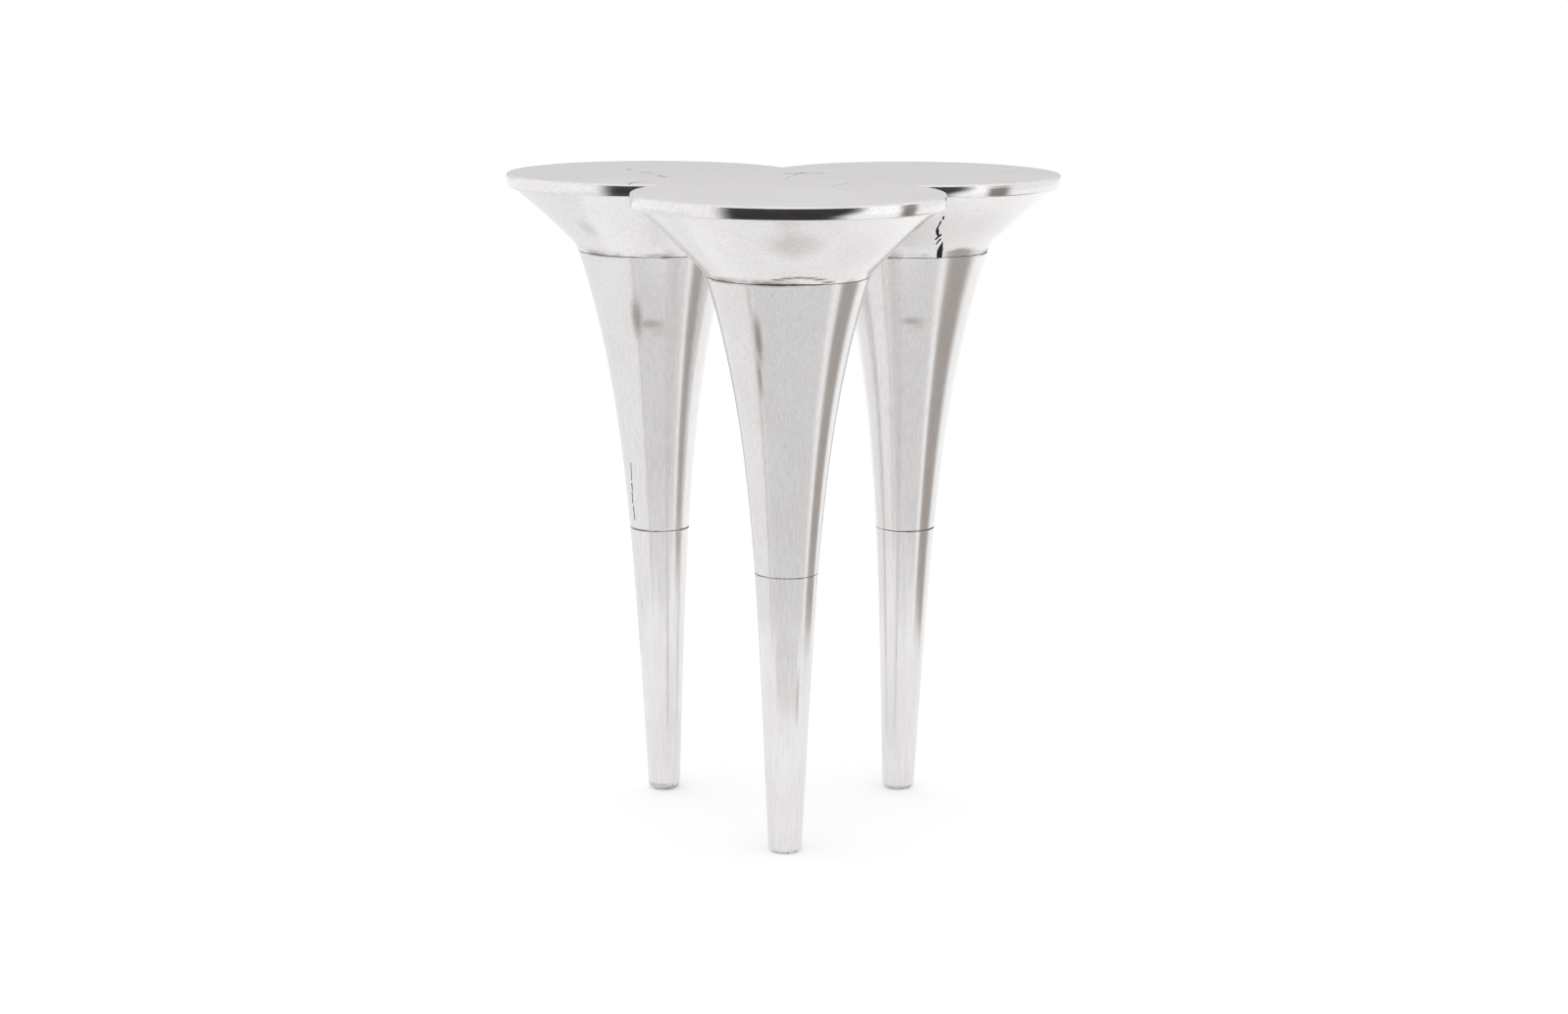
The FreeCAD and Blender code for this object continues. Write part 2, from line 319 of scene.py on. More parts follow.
def leaf_group():
    """Tone, rub and fine relief of burnished leaf over wood grain."""
    graph, given, result = new_group(
        "burnished_leaf", [("Grain", None), ("Place", None), ("Grain Depth", 1.0)],
        ["Tone", "Rub", "Relief"]
    )
    fine = graph.noise(given["Grain"], 1.0, 4.0, 0.6)
    broad = graph.noise(given["Place"], 9.0, 2.0, 0.5)
    mottle = graph.noise(given["Place"], 60.0, 3.0, 0.6)
    streak = graph.ramp(fine, 0.3, 0.7)

    def blend(first, first_weight, second, second_weight):
        weighted = graph.math("MULTIPLY", first, first_weight)
        return graph.math("ADD", weighted, graph.math("MULTIPLY", second, second_weight))

    graph.feed(result["Tone"], blend(streak, 0.45, broad, 0.55))
    graph.feed(result["Rub"], blend(mottle, 0.5, broad, 0.5))
    graph.feed(result["Relief"], blend(fine, given["Grain Depth"], mottle, 0.18))
    return graph.tree


def seam_group():
    """Thin wandering black line and the soft tarnish beside it, at one level."""
    graph, given, result = new_group(
        "seam_line", [("Place", None), ("Level", 0.5), ("Width", 0.0008), ("Tarnish Reach", 0.006)],
        ["Line", "Tarnish"]
    )
    height = graph.split(given["Place"])[2]
    drift = graph.math("SUBTRACT", graph.noise(given["Place"], 45.0, 3.0), 0.5)
    wander = graph.math("MULTIPLY", drift, 0.0016)
    away = graph.math("ABSOLUTE", graph.math("ADD", graph.math("SUBTRACT", height, given["Level"]), wander))
    breaks = graph.ramp(graph.noise(given["Place"], 26.0, 4.0, 0.7), 0.34, 0.56)
    width = graph.math("MULTIPLY", given["Width"], graph.math("ADD", 0.25, breaks))
    line = graph.math("SUBTRACT", 1.0, graph.math("DIVIDE", away, width), clamp=True)
    graph.feed(result["Line"], graph.math("MULTIPLY", line, 2.5, clamp=True))
    near = graph.math("SUBTRACT", 1.0, graph.math("DIVIDE", away, given["Tarnish Reach"]), clamp=True)
    patch = graph.ramp(graph.noise(given["Place"], 18.0, 3.0), 0.45, 0.62)
    graph.feed(result["Tarnish"], graph.math("MULTIPLY", near, patch))
    return graph.tree


def blot_group():
    """Soft round mark at a place, stretched by its reach along each axis."""
    inputs = [("Place", None), ("Centre", None), ("Reach", None), ("Break Up", 0.35)]
    graph, given, result = new_group("soft_mark", inputs, ["Mark"])
    offset = graph.vector("SUBTRACT", given["Place"], given["Centre"])
    distance = graph.vector("LENGTH", graph.vector("DIVIDE", offset, given["Reach"]))
    uneven = graph.math("SUBTRACT", graph.noise(given["Place"], 160.0, 3.0), 0.5)
    ragged = graph.math("MULTIPLY", uneven, given["Break Up"])
    graph.feed(result["Mark"], graph.ramp(graph.math("ADD", distance, ragged), 1.0, 0.15))
    return graph.tree


def crack_group():
    """Ragged crack between two places, given as start and end, that widens along its length."""
    inputs = [
        ("Place", None), ("Start", None), ("End", None), ("Start Width", 0.0004), ("End Width", 0.0004),
        ("Wander", 0.001), ("Gaps", 0.0)
    ]
    graph, given, result = new_group("crack_line", inputs, ["Crack"])
    wobble = graph.add("ShaderNodeTexNoise", {"Vector": given["Place"], "Scale": 110.0, "Detail": 3.0})
    shake = graph.vector("SUBTRACT", wobble.outputs["Color"], (0.5, 0.5, 0.5))
    place = graph.vector("ADD", given["Place"], graph.scaled(shake, given["Wander"]))
    span = graph.vector("SUBTRACT", given["End"], given["Start"])
    reach = graph.vector("SUBTRACT", place, given["Start"])
    along, whole = graph.vector("DOT_PRODUCT", reach, span), graph.vector("DOT_PRODUCT", span, span)
    share = graph.math("DIVIDE", along, whole, clamp=True)
    away = graph.vector("LENGTH", graph.vector("SUBTRACT", reach, graph.scaled(span, share)))
    growth = graph.math("SUBTRACT", given["End Width"], given["Start Width"])
    width = graph.math("ADD", given["Start Width"], graph.math("MULTIPLY", share, growth))
    solid = graph.math("SUBTRACT", 1.0, graph.ramp(graph.math("DIVIDE", away, width), 0.75, 1.15))
    closed = graph.math("SUBTRACT", given["Gaps"], 0.5)
    broken = graph.ramp(graph.math("SUBTRACT", graph.noise(given["Place"], 420.0, 2.0), closed), 0.42, 0.52)
    graph.feed(result["Crack"], graph.math("MULTIPLY", solid, broken))
    return graph.tree


def shared_groups():
    makers = {
        "burnished_leaf": leaf_group, "seam_line": seam_group, "soft_mark": blot_group,
        "crack_line": crack_group
    }
    return {name: bpy.data.node_groups.get(name) or maker() for name, maker in makers.items()}


def colour(value):
    return (*value, 1.0)


def strongest(graph, masks):
    total = masks[0]
    for mask in masks[1:]:
        total = graph.math("MAXIMUM", total, mask)
    return total


def new_material(name):
    material = bpy.data.materials.new(name)
    material.use_nodes = True
    material.node_tree.nodes.clear()
    graph = Graph(material.node_tree)
    output = graph.add("ShaderNodeOutputMaterial")
    shader = graph.add("ShaderNodeBsdfPrincipled")
    graph.feed(output.inputs["Surface"], shader.outputs[0])
    place = graph.add("ShaderNodeTexCoord").outputs["Object"]
    return material, graph, shader, place


def silver_leaf(
    name, grain_scale, grain_depth=1.0, leg=None, seams=(), marks=(), cracks=(), relief=0.000012,
    rim_level=None
):
    """Burnished leaf with its own seams, soft marks and cracks, placed on the leg's unrolled skin."""
    finish = bpy.context.scene.table_finish
    groups = shared_groups()
    material, graph, shader, place = new_material(name)

    leaf = graph.add("ShaderNodeGroup", node_tree=groups["burnished_leaf"])
    graph.feed(leaf.inputs["Place"], place)
    graph.feed(leaf.inputs["Grain"], graph.stretched(place, grain_scale))
    leaf.inputs["Grain Depth"].default_value = grain_depth

    skin = unrolled(graph, place, leg) if leg else place

    def group_node(group, values):
        node = graph.add("ShaderNodeGroup", node_tree=groups[group])
        graph.feed(node.inputs["Place"], place if group == "seam_line" else skin)
        for key, value in values.items():
            node.inputs[key].default_value = value
        return node

    dark, stained_and_shaded = [], []
    for level, width, reach in seams:
        node = group_node("seam_line", {"Level": level, "Width": width, "Tarnish Reach": reach})
        dark.append(node.outputs["Line"])
        stained_and_shaded.append(node.outputs["Tarnish"])
    # Soft marks are tarnish, and on the front and right bells painted shade.
    for centre, reach, strength in marks:
        node = group_node("soft_mark", {"Centre": centre, "Reach": reach})
        stained_and_shaded.append(graph.math("MULTIPLY", node.outputs["Mark"], strength))
    for start, end, start_width, end_width, wander, gaps in cracks:
        values = {
            "Start": start, "End": end, "Start Width": start_width, "End Width": end_width,
            "Wander": wander, "Gaps": gaps
        }
        dark.append(group_node("crack_line", values).outputs["Crack"])

    base = graph.mix(
        graph.ramp(leaf.outputs["Tone"], 0.72, 0.28), colour(finish.leaf), colour(finish.leaf_dull)
    )
    rough = graph.math("ADD", finish.leaf_roughness, graph.math("MULTIPLY", leaf.outputs["Rub"], 0.12))
    height = leaf.outputs["Relief"]
    if rim_level:
        # The upright rim is burnished more than the flat.
        rim = graph.ramp(graph.split(place)[2], rim_level, rim_level - RIM_FADE)
        rough = graph.math("SUBTRACT", rough, graph.math("MULTIPLY", rim, 0.05))
        height = graph.math("MULTIPLY", height, graph.math("MULTIPLY_ADD", rim, -0.75, 1.0))
    metal = 1.0
    # Tarnish and painted shade dull the leaf. An open gap is black, rough and sunk.
    if stained_and_shaded:
        stain_and_shade = strongest(graph, stained_and_shaded)
        metal = graph.math("SUBTRACT", metal, graph.math("MULTIPLY", stain_and_shade, 0.3))
        base = graph.mix(stain_and_shade, base, colour(finish.tarnish))
        rough = graph.math("ADD", rough, graph.math("MULTIPLY", stain_and_shade, 0.25))
    if dark:
        gap = strongest(graph, dark)
        metal = graph.math("SUBTRACT", metal, gap, clamp=True)
        base = graph.mix(gap, base, colour(finish.gap_shade))
        rough = graph.math("ADD", rough, graph.math("MULTIPLY", gap, 0.85), clamp=True)
        height = graph.math("SUBTRACT", height, graph.math("MULTIPLY", gap, 4.0))
    graph.feed(shader.inputs["Base Color"], base)
    graph.feed(shader.inputs["Roughness"], rough)
    graph.feed(shader.inputs["Metallic"], metal)
    bump = graph.add("ShaderNodeBump", {"Height": height, "Strength": 1.0, "Distance": relief})
    graph.feed(shader.inputs["Normal"], bump.outputs[0])
    return material


def plain_finish(name, shade, metallic, roughness, scale, spread, relief):
    """Wood, steel or nylon with its own grain in colour, roughness and relief."""
    material, graph, shader, place = new_material(name)
    grain = graph.noise(graph.stretched(place, scale), 1.0, 5.0, 0.6)
    darker = colour([channel * (1 - spread) for channel in shade])
    graph.feed(shader.inputs["Base Color"], graph.mix(graph.ramp(grain, 0.35, 0.65), darker, colour(shade)))
    change = 0.12
    rough = graph.math("ADD", roughness - change / 2, graph.math("MULTIPLY", grain, change))
    graph.feed(shader.inputs["Roughness"], rough)
    shader.inputs["Metallic"].default_value = metallic
    bump = graph.add("ShaderNodeBump", {"Height": grain, "Strength": 1.0, "Distance": relief})
    graph.feed(shader.inputs["Normal"], bump.outputs[0])
    return material


# ---- Mesh building -------------------------------------------------------------------------
def curve_points(top, top_slope, base, base_slope, count):
    """Outline points between two radius-height ends with the given slopes."""
    third = (top[1] - base[1]) / 3
    upper = (top[0] - top_slope * third, top[1] - third)
    lower = (base[0] + base_slope * third, base[1] + third)
    knots = [Vector((radius, 0, height)) for radius, height in (top, upper, lower, base)]
    return interpolate_bezier(*knots, count)


def round_points(start, corner, end, count):
    """Outline points of a rounded corner."""
    start, corner, end = (Vector((radius, 0, height)) for radius, height in (start, corner, end))
    first = start + (corner - start) * (2 / 3)
    second = end + (corner - end) * (2 / 3)
    return interpolate_bezier(start, first, second, end, count)


def turn(outline, steps):
    """Spin a closed radius-height outline into a solid round Z."""
    bm = bmesh.new()
    verts = [bm.verts.new(point) for point in outline]
    edges = [bm.edges.new((verts[i - 1], verts[i])) for i in range(len(verts))]
    bmesh.ops.spin(
        bm, geom=verts + edges, cent=(0, 0, 0), axis=(0, 0, 1), dvec=(0, 0, 0), angle=TAU, steps=steps,
        use_merge=True
    )
    bmesh.ops.remove_doubles(bm, verts=bm.verts, dist=1e-6)
    bmesh.ops.recalc_face_normals(bm, faces=bm.faces)
    return bm


def hand_finish(bm, name, depth, inner_radius):
    """Hollow the turned skin a little, unevenly, as sanding by hand leaves it."""
    seed = 17.0 * LEGS.index(name)
    round_scale, height_scale = 1.7, 3.0
    for vert in bm.verts:
        radius = math.hypot(vert.co.x, vert.co.y)
        if radius <= inner_radius(vert.co.z):
            continue
        around = Vector((vert.co.x / radius * round_scale, vert.co.y / radius * round_scale, 0))
        place = around + Vector((0, 0, vert.co.z * height_scale + seed))
        broad, narrow = noise.noise(place * 1.3), noise.noise(place * 3.1)
        hollow = depth * (0.5 + 0.4 * broad + 0.1 * narrow)
        vert.co.x -= vert.co.x / radius * hollow
        vert.co.y -= vert.co.y / radius * hollow


def lean(bm, name):
    """Put an upright piece on its leg, leaning with it and with level faces still level."""
    foot, rise = leg_line(name)
    slant = Matrix.Identity(4)
    slant[0][2], slant[0][3] = rise.x, foot.x
    slant[1][2], slant[1][3] = rise.y, foot.y
    bmesh.ops.transform(bm, matrix=slant, verts=bm.verts)


def finish_piece(bm, name, material, slot, *nodes):
    """Turn a mesh into a piece of the table body that stands for its CAD nodes."""
    mesh = bpy.data.meshes.new(name)
    for face in bm.faces:
        face.smooth = True
    bm.to_mesh(mesh)
    bm.free()
    mesh.set_sharp_from_angle(angle=SHARP_ANGLE)
    mesh.materials.append(material)
    piece = bpy.data.objects.new(name, mesh)
    bpy.context.scene.collection.objects.link(piece)
    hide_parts(*nodes)
    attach(piece, "table")
    return piece


# ---- Outlines ------------------------------------------------------------------------------
# Each collar was cut by eye: share of the set height and of the set slope.
COLLARS = {"front": (0.50, 1.80), "left": (0.80, 1.45), "right": (0.85, 1.15)}


def bell_outline(name):
    shape = bpy.context.scene.table_shape
    collar_height = shape.collar_height * COLLARS[name][0]
    collar_slope = shape.collar_slope * COLLARS[name][1]
    knee_level = BELL_BASE + collar_height
    knee_radius = SEAM_RADIUS + collar_slope * collar_height
    upper = (knee_radius + shape.knee_slope * shape.knee_round, knee_level + shape.knee_round)
    under = (knee_radius - collar_slope * shape.knee_round, knee_level - shape.knee_round)
    rim = (LOBE_RADIUS - shape.rim_step, PANEL_BASE)
    skin = curve_points(rim, shape.rim_slope, upper, shape.knee_slope, 44)
    skin += round_points(upper, (knee_radius, knee_level), under, 10)[1:]
    below = 6
    for step in range(below - 1, -1, -1):
        radius = SEAM_RADIUS + (under[0] - SEAM_RADIUS) * step / below
        skin.append(Vector((radius, 0, BELL_BASE + (under[1] - BELL_BASE) * step / below)))
    return skin


def upper_outline():
    shape = bpy.context.scene.table_shape
    return curve_points(
        (SEAM_RADIUS, UPPER_TOP), shape.upper_slope, (WAIST_RADIUS, UPPER_BASE), shape.waist_slope, 120
    )


def skin_radius(outline, height):
    nearest = min(outline, key=lambda point: abs(point.z - height))
    return nearest.x


# ---- Marks of use and making, and painted shade on two bells -------------------------------
# Levels are in metres above the floor. Soft marks: place, reach round and up, strength.
LEG_MARKS = {
    "front": [
        (spot(-26.5, 0.850), (0.012, 1, 0.058), 0.85),
        (spot(-29.0, 0.790), (0.009, 1, 0.048), 0.72),
        (spot(-12.1, 0.921), (0.0022, 1, 0.0018), 0.7),
        (spot(-16.3, 0.904), (0.0020, 1, 0.0016), 0.7),
    ],
    "left": [
        (spot(-16.5, 0.834), (0.018, 1, 0.050), 0.72),
        (spot(-4.0, 0.824), (0.046, 1, 0.012), 0.50),
        (spot(3.0, 0.814), (0.026, 1, 0.018), 0.18),
    ],
    "right": [
        (spot(-2.0, 0.830), (0.036, 1, 0.010), 0.50),
        (spot(3.0, 0.824), (0.024, 1, 0.016), 0.20),
    ],
}
# The front bell's lip: a bow of dark marks, highest in its middle, over the seam.
LIP_MIDDLE, LIP_STEP = 6.0, 7.0
LIP_RISE, LIP_FALL = 0.0125, 0.0010
LIP_PLACES = [
    spot(LIP_MIDDLE + LIP_STEP * step, BELL_BASE + LIP_RISE - LIP_FALL * step * step)
    for step in range(-3, 4)
]
BELL_MARKS = {
    "front": [
        *((place, (0.017, 1, 0.0026), 1.0) for place in LIP_PLACES),
        (spot(2.0, 1.0050), (0.044, 1, 0.0300), 0.30),
        # Painted shade: a broad darker patch on the front bell's right side, standing in for the shaded floor
        # under the table that it reflects.
        (spot(42.0, 0.9850), (0.070, 1, 0.0500), 0.10),
    ],
    "left": [
        (spot(2.0, 0.9415), (0.034, 1, 0.0040), 0.5),
        (spot(-38.0, 0.985), (0.020, 1, 0.022), 0.22),
    ],
    # Painted shade: a broad darker patch over the right bell, standing in for the shaded floor under the table
    # that it reflects.
    "right": [(spot(10.0, 0.9850), (0.190, 1, 0.0600), 0.17)],
}
LOWER_MARKS = {
    "front": [(spot(27.0, 0.262), (0.012, 1, 0.065), 0.5), (spot(26.0, 0.415), (0.004, 1, 0.004), 0.5)],
    "left": [(spot(-20.0, 0.010), (0.20, 1, 0.005), 0.40), (spot(20.0, 0.005), (0.20, 1, 0.005), 0.45)],
    "right": [(spot(10.0, 0.005), (0.30, 1, 0.005), 0.30)],
}
# Chips along each foot's edge: degrees from the front and level of one end.
CHIP_TURN, CHIP_DROP = 6, 0.0015
FOOT_CHIPS = {
    "left": [
        (-52, 0.0085), (-38, 0.0070), (-27, 0.0040), (-12, 0.0050), (3, 0.0035),
        (17, 0.0055), (31, 0.0080), (44, 0.0065), (58, 0.0085),
    ],
    "right": [(-30, 0.0040), (12, 0.0030), (38, 0.0055)],
    "front": [(-35, 0.0045), (8, 0.0030), (40, 0.0045)],
}
# Cracks: start, end, width at each, wander, share of it closed.
BELL_CRACKS = {
    "front": [
        (spot(-20.0, BELL_BASE), spot(24.0, BELL_BASE), 0.0012, 0.0008, 0.0006, 0.0),
    ],
    "right": [
        (spot(10.7, 1.0120), spot(10.9, 1.0070), 0.0012, 0.0009, 0.001, 0.0),
        (spot(10.2, 1.0040), spot(9.4, 0.9920), 0.0010, 0.0011, 0.004, 0.0),
        (spot(9.4, 0.9920), spot(10.2, 0.9860), 0.0011, 0.0018, 0.004, 0.0),
        (spot(10.0, 0.9860), spot(11.0, 0.9790), 0.0024, 0.0020, 0.004, 0.04),
        (spot(12.5, 0.9790), spot(10.6, 0.9710), 0.0020, 0.0013, 0.002, 0.04),
        (spot(13.4, 0.9710), spot(11.9, 0.9620), 0.0015, 0.0009, 0.002, 0.04),
        (spot(15.6, 0.9660), spot(16.2, 0.9520), 0.0008, 0.0046, 0.003, 0.0),
        (spot(16.2, 0.9520), spot(16.6, 0.9380), 0.0046, 0.0050, 0.003, 0.0),
    ],
}
TOP_CRACKS = [
    ((-0.264, 0.232, TABLE_TOP), (-0.258, 0.248, TABLE_TOP), 0.0022, 0.0010, 0.003, 0.0),
    ((-0.236, 0.180, TABLE_TOP), (-0.222, 0.181, TABLE_TOP), 0.0030, 0.0026, 0.006, 0.06),
    ((-0.208, 0.112, TABLE_TOP), (-0.195, 0.083, TABLE_TOP), 0.0022, 0.0016, 0.008, 0.05),
    ((-0.252, -0.062, TABLE_TOP), (-0.246, -0.022, TABLE_TOP), 0.0014, 0.0014, 0.005, 0.0),
    ((-0.246, -0.022, TABLE_TOP), (-0.215, 0.026, TABLE_TOP), 0.0014, 0.0008, 0.006, 0.02),
    ((0.000, 0.169, TABLE_TOP), (0.064, 0.171, TABLE_TOP), 0.0032, 0.0026, 0.010, 0.06),
    ((0.028, 0.171, TABLE_TOP), (0.031, 0.183, TABLE_TOP), 0.0028, 0.0022, 0.004, 0.0),
    ((0.024, 0.168, TABLE_TOP), (-0.002, 0.057, TABLE_TOP), 0.0012, 0.0007, 0.010, 0.10),
    ((0.072, -0.075, TABLE_TOP), (0.110, -0.001, TABLE_TOP), 0.0009, 0.0006, 0.008, 0.10),
]
# Hairline checks down the left leg.
CHECKS = [
    (spot(-48.3, 0.579), spot(-50.6, 0.550), 0.0020, 0.0020, 0.004, 0.06),
    (spot(-51.1, 0.542), spot(-51.6, 0.533), 0.0034, 0.0028, 0.004, 0.0),
    (spot(-53.0, 0.526), spot(-54.5, 0.511), 0.0032, 0.0030, 0.004, 0.0),
    (spot(-53.0, 0.503), spot(-52.1, 0.481), 0.0030, 0.0024, 0.004, 0.02),
]


# ---- Operators -----------------------------------------------------------------------------
class TABLE_OT_top(bpy.types.Operator):
    """Three-lobed top with its rounded rim, grain and fine cracks"""

    bl_idname = "cluster_table.top"
    bl_label = "Top"

    def execute(self, context):
        shape = context.scene.table_shape
        bm = bmesh.new()
        middle = sum((lobe_centre(name) for name in LEGS), Vector()) / 3
        steps = 160
        cusp_angle = math.acos(LEG_SPACING / 2 / LOBE_RADIUS)
        neighbour_angle = math.radians(30)
        # Each lobe's arc runs between the two cusps that it shares with its neighbours.
        for name in LEGS:
            centre = lobe_centre(name)
            outward = (centre - middle).normalized()
            swing = math.pi - neighbour_angle - cusp_angle
            start = centre + Matrix.Rotation(-swing, 3, "Z") @ outward * LOBE_RADIUS
            start.z = PANEL_BASE
            seed = bm.verts.new(start)
            bmesh.ops.spin(
                bm, geom=[seed], cent=centre, axis=(0, 0, 1), dvec=(0, 0, 0), angle=2 * swing, steps=steps
            )
        bmesh.ops.remove_doubles(bm, verts=bm.verts, dist=1e-5)
        made = bmesh.ops.contextual_create(bm, geom=bm.edges[:])
        panel = made["faces"][0]
        raised = bmesh.ops.extrude_face_region(bm, geom=[panel])["geom"]
        bmesh.ops.translate(
            bm, verts=[item for item in raised if isinstance(item, bmesh.types.BMVert)],
            vec=(0, 0, TABLE_TOP - PANEL_BASE)
        )
        bmesh.ops.recalc_face_normals(bm, faces=bm.faces)
        rims = [edge for edge in bm.edges if abs(edge.verts[0].co.z - edge.verts[1].co.z) < 1e-6]
        bmesh.ops.bevel(
            bm, geom=rims, offset=shape.edge_round, segments=10, profile=0.5, affect="EDGES", material=-1,
            clamp_overlap=True
        )
        self.crown_rim(bm, shape)
        # Only the upper and lower face have many corners. A narrow border inside each
        # keeps the rounding's shading off it.
        border = 0.0008
        flats = [face for face in bm.faces if len(face.verts) > 20]
        bmesh.ops.inset_region(bm, faces=flats, thickness=border, use_even_offset=True)
        material = silver_leaf(
            "silver_leaf_top", (7.0, 260.0, 260.0), 1.6, cracks=TOP_CRACKS, relief=0.00004,
            rim_level=TABLE_TOP - RIM_START
        )
        finish_piece(bm, "lobed_top", material, "silver_leaf_top", "top_panel")
        return {"FINISHED"}

    @staticmethod
    def crown_rim(bm, shape):
        """Swell the rim's upright band a little at half its height, as a sanded edge does."""
        middle = (TABLE_TOP + PANEL_BASE) / 2
        half = (TABLE_TOP - PANEL_BASE) / 2 - shape.edge_round
        # The upright edges are twice half the band's height, and the rounding's are far shorter.
        upright = [edge for edge in bm.edges if abs(edge.verts[0].co.z - edge.verts[1].co.z) > 1.9 * half]
        bmesh.ops.subdivide_edges(bm, edges=upright, cuts=7, use_grid_fill=True)
        centres = [lobe_centre(name) for name in LEGS]
        for vert in bm.verts:
            level = (vert.co.z - middle) / half
            away = [vert.co.xy - centre.xy for centre in centres]
            outward = min(away, key=lambda step: abs(step.length - LOBE_RADIUS))
            if outward.length < LOBE_RADIUS - 2 * shape.edge_round:
                continue
            inward = shape.rim_crown * min(1, level * level) / outward.length
            vert.co.x -= outward.x * inward
            vert.co.y -= outward.y * inward


class TABLE_OT_bells(bpy.types.Operator):
    """Flared bell under each lobe, trimmed where it meets its neighbours"""

    bl_idname = "cluster_table.bells"
    bl_label = "Bells"

    def execute(self, context):
        shape = context.scene.table_shape
        socket_top = PLUG_TOP + FIT_GAP
        inner = [
            (PLUG_RADIUS + FIT_GAP, BELL_BASE),
            (PLUG_RADIUS + FIT_GAP, socket_top),
            (LEG_SPACING / 2 - shape.bell_land, PANEL_BASE),
        ]

        def inner_wall(height):
            """Radius that parts the bell's hollow from its skin."""
            margin, slope = 0.002, 1.3
            return PLUG_RADIUS + margin + max(0, height - socket_top) * slope

        for name in LEGS:
            outline = bell_outline(name) + [Vector((radius, 0, height)) for radius, height in inner]
            bm = turn(outline, shape.turned_steps)
            hand_finish(bm, name, shape.hand_finish, inner_wall)
            if name == "front":
                self.lift_lip(bm)
            lean(bm, name)
            for other in LEGS:
                if other != name:
                    self.trim(bm, name, other)
            cracks = BELL_CRACKS.get(name, ())
            material = silver_leaf(
                f"silver_leaf_bell_{name}", (230, 230, 30), 0.8, name, [(BELL_BASE, 0.0004, 0.010)],
                BELL_MARKS[name], cracks
            )
            finish_piece(bm, f"bell_{name}_leafed", material, "silver_leaf_body", f"bell_{name}")
        return {"FINISHED"}

    @staticmethod
    def lift_lip(bm):
        """Shallow scoop at the bottom of the front bell, beside its seam."""
        middle, half_span = 1.5, 24
        reach, depth = 0.010, 0.0016
        skin_start = SEAM_RADIUS - 0.003
        for vert in bm.verts:
            angle = math.degrees(math.atan2(vert.co.x, -vert.co.y))
            across = (angle - middle) / half_span
            up = (vert.co.z - BELL_BASE) / reach
            if abs(across) < 1 and up < 1 and math.hypot(vert.co.x, vert.co.y) > skin_start:
                scoop = depth * (1 - across * across) * (1 - max(up, 0)) ** 0.5
                vert.co.x *= 1 - scoop / SEAM_RADIUS
                vert.co.y *= 1 - scoop / SEAM_RADIUS

    @staticmethod
    def trim(bm, name, other):
        towards = (lobe_centre(other) - lobe_centre(name)).normalized()
        plane = (lobe_centre(other) + lobe_centre(name)) / 2
        cut = bmesh.ops.bisect_plane(
            bm, geom=bm.verts[:] + bm.edges[:] + bm.faces[:], dist=1e-6, plane_co=plane, plane_no=towards,
            clear_outer=True
        )
        edges = [item for item in cut["geom_cut"] if isinstance(item, bmesh.types.BMEdge)]
        bmesh.ops.contextual_create(bm, geom=[edge for edge in edges if len(edge.link_faces) == 1])


class TABLE_OT_upper_legs(bpy.types.Operator):
    """Upper turned section of each leg, with its knots and hairline checks"""

    bl_idname = "cluster_table.upper_legs"
    bl_label = "Upper Legs"

    def execute(self, context):
        shape = context.scene.table_shape
        skin = upper_outline()
        bore = WAIST_PLUG_RADIUS + FIT_GAP
        socket = PLUG_RADIUS + FIT_GAP
        hollow_top = (PLUG_RADIUS - PLUG_LEDGE, PLUG_BASE - FIT_GAP)
        hollow_base = (bore, WAIST_PLUG_TOP + FIT_GAP)
        hollow = curve_points(hollow_top, shape.upper_slope, hollow_base, shape.waist_slope, 24)
        inner = [Vector((bore, 0, UPPER_BASE)), *reversed(hollow)]
        inner += [Vector((socket, 0, PLUG_BASE - FIT_GAP)), Vector((socket, 0, UPPER_TOP))]
        skin_depth = 0.004
        for name in LEGS:
            bm = turn(list(skin) + inner, shape.turned_steps)
            hand_finish(bm, name, shape.hand_finish, lambda z: skin_radius(skin, z) - skin_depth)
            lean(bm, name)
            cracks = CHECKS if name == "left" else ()
            seams = [(UPPER_TOP, 0.0004, 0.004), (UPPER_BASE, 0.0005, 0.003)]
            material = silver_leaf(
                f"silver_leaf_upper_{name}", (420, 420, 10), 1.0, name, seams, LEG_MARKS[name], cracks
            )
            finish_piece(bm, f"upper_leg_{name}_leafed", material, "silver_leaf_body", f"upper_leg_{name}")
        return {"FINISHED"}


